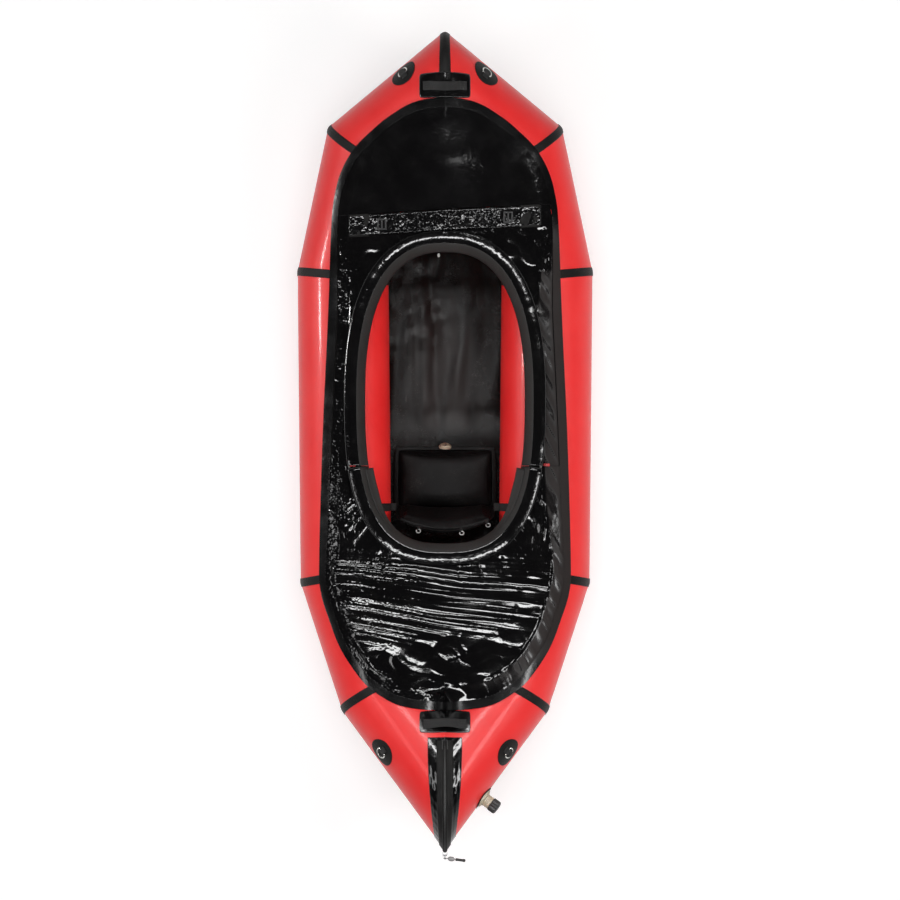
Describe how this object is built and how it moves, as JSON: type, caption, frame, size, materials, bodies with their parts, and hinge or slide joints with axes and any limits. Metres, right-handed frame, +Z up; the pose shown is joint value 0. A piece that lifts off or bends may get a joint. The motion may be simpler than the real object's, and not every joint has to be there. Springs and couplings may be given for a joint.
{
  "type": "packraft",
  "caption": "Inflatable one-person packraft with a pointed bow and stern, a spray deck with an egg-shaped cockpit coaming, seat, backrest, grab straps and a stern cargo zip.",
  "frame": {"origin": "on the ground, under the middle of the boat's whole length and width", "axes": "+Z up, +Y towards the bow, +X to starboard"},
  "size_m": [0.9632, 2.6395, 0.4713],
  "materials": {
    "red_coated_fabric": "satin",
    "gloss_black_film": "gloss",
    "matte_black_tape": "matte",
    "satin_black_floor": "satin",
    "black_webbing": "matte",
    "black_plastic": "satin",
    "beige_plastic": "satin",
    "grey_plastic": "satin",
    "bright_ring_metal": "satin",
    "glass_fibre_rod": "satin"
  },
  "bodies": {
    "hull": {"bow_tube_starboard": "red_coated_fabric", "front_tube_starboard": "red_coated_fabric", "side_tube_starboard": "red_coated_fabric", "rear_tube_starboard": "red_coated_fabric", "stern_tube_starboard": "red_coated_fabric", "front_shoulder_tape_starboard": "matte_black_tape", "front_side_tape_starboard": "matte_black_tape", "rear_side_tape_starboard": "matte_black_tape", "rear_shoulder_tape_starboard": "matte_black_tape", "closure_strip_starboard": "matte_black_tape", "backrest_strap_starboard": "black_webbing", "bow_starboard_lashing_patch": "matte_black_tape", "stern_starboard_lashing_patch": "matte_black_tape", "bow_tube_port": "red_coated_fabric", "front_tube_port": "red_coated_fabric", "side_tube_port": "red_coated_fabric", "rear_tube_port": "red_coated_fabric", "stern_tube_port": "red_coated_fabric", "front_shoulder_tape_port": "matte_black_tape", "front_side_tape_port": "matte_black_tape", "rear_side_tape_port": "matte_black_tape", "rear_shoulder_tape_port": "matte_black_tape", "closure_strip_port": "matte_black_tape", "backrest_strap_port": "black_webbing", "bow_port_lashing_patch": "matte_black_tape", "stern_port_lashing_patch": "matte_black_tape", "bow_tape": "matte_black_tape", "floor": "satin_black_floor", "floor_tape": "matte_black_tape", "bow_deck": "gloss_black_film", "rear_deck": "gloss_black_film", "deck_tape": "matte_black_tape", "coaming_rear": "gloss_black_film", "coaming_rod_rear": "glass_fibre_rod", "bow_handle_patch": "matte_black_tape", "stern_handle_patch": "matte_black_tape", "bow_handle_strap": "black_webbing", "stern_handle_strap": "black_webbing", "valve_patch": "matte_black_tape", "valve_flange": "beige_plastic", "zip_backing": "gloss_black_film", "zip_tape": "matte_black_tape", "seat_cushion": "satin_black_floor"},
    "flap": {"deck_flap": "gloss_black_film", "coaming_front": "gloss_black_film", "coaming_rod_front": "glass_fibre_rod", "stow_band": "black_webbing"},
    "stow_lock_starboard": {"stow_buckle_starboard": "black_plastic"},
    "stow_lock_port": {"stow_buckle_port": "black_plastic"},
    "bow_ring_starboard": {"bow_starboard_lashing_ring": "bright_ring_metal"},
    "bow_ring_port": {"bow_port_lashing_ring": "bright_ring_metal"},
    "stern_ring_starboard": {"stern_starboard_lashing_ring": "bright_ring_metal"},
    "stern_ring_port": {"stern_port_lashing_ring": "bright_ring_metal"},
    "valve_turner": {"valve_body": "beige_plastic"},
    "valve_lid": {"valve_cap": "black_plastic"},
    "slider": {"zip_slider": "grey_plastic"},
    "pull": {"zip_pull": "black_plastic"},
    "seat_valve_knob": {"seat_valve": "beige_plastic"},
    "back_support": {"backrest": "satin_black_floor"}
  },
  "joints": [
    {"name": "deck_flap_lift", "type": "hinge", "parent": "hull", "child": "flap", "pos_m": [0, 0.752, 0.34882], "axis": [-0.9985, -0.0549, 0], "range_deg": [0, 105]},
    {"name": "stow_lock_tilt_starboard", "type": "hinge", "parent": "flap", "child": "stow_lock_starboard", "pos_m": [0.215, 0.728, 0.32217], "axis": [0.0123, 0.993, 0.1176], "range_deg": [0, 50]},
    {"name": "stow_lock_tilt_port", "type": "hinge", "parent": "flap", "child": "stow_lock_port", "pos_m": [-0.215, 0.706, 0.3194], "axis": [0.0125, -0.994, -0.1085], "range_deg": [0, 50]},
    {"name": "backrest_fold", "type": "hinge", "parent": "hull", "child": "back_support", "pos_m": [0, -0.205, 0.0793], "axis": [-1, 0, 0], "range_deg": [0, 60]},
    {"name": "zip_travel", "type": "hinge", "parent": "hull", "child": "slider", "pos_m": [0, -1.17479, 0.31995], "axis": [-1, 0, 0], "range_deg": [0, 48.9]},
    {"name": "zip_pull_swing", "type": "hinge", "parent": "slider", "child": "pull", "pos_m": [0, -1.29837, 0.36989], "axis": [0, 0.9414, -0.3372], "range_deg": [-60, 110]},
    {"name": "valve_body_turn", "type": "hinge", "parent": "hull", "child": "valve_turner", "pos_m": [0.12248, -1.11993, 0.30263], "axis": [0.8034, -0.5713, 0.1676], "range_deg": [0, 450]},
    {"name": "valve_cap_lift", "type": "slide", "parent": "valve_turner", "child": "valve_lid", "axis": [0.8034, -0.5713, 0.1676], "range_m": [0, 0.06]},
    {"name": "seat_valve_turn", "type": "hinge", "parent": "hull", "child": "seat_valve_knob", "pos_m": [0, -0.00194, 0.02452], "axis": [0, 0.9272, 0.3746], "range_deg": [0, 90]},
    {"name": "bow_ring_swing_starboard", "type": "hinge", "parent": "hull", "child": "bow_ring_starboard", "pos_m": [0.13094, 1.1738, 0.37241], "axis": [0.7615, -0.5716, -0.3055], "range_deg": [0, 150]},
    {"name": "bow_ring_swing_port", "type": "hinge", "parent": "hull", "child": "bow_ring_port", "pos_m": [-0.13094, 1.1738, 0.37241], "axis": [0.7615, 0.5716, 0.3055], "range_deg": [0, 150]},
    {"name": "stern_ring_swing_starboard", "type": "hinge", "parent": "hull", "child": "stern_ring_starboard", "pos_m": [0.19895, -0.96637, 0.33765], "axis": [-0.595, -0.7598, 0.2621], "range_deg": [0, 150]},
    {"name": "stern_ring_swing_port", "type": "hinge", "parent": "hull", "child": "stern_ring_port", "pos_m": [-0.19895, -0.96637, 0.33765], "axis": [-0.595, 0.7598, -0.2621], "range_deg": [0, 150]}
  ]
}
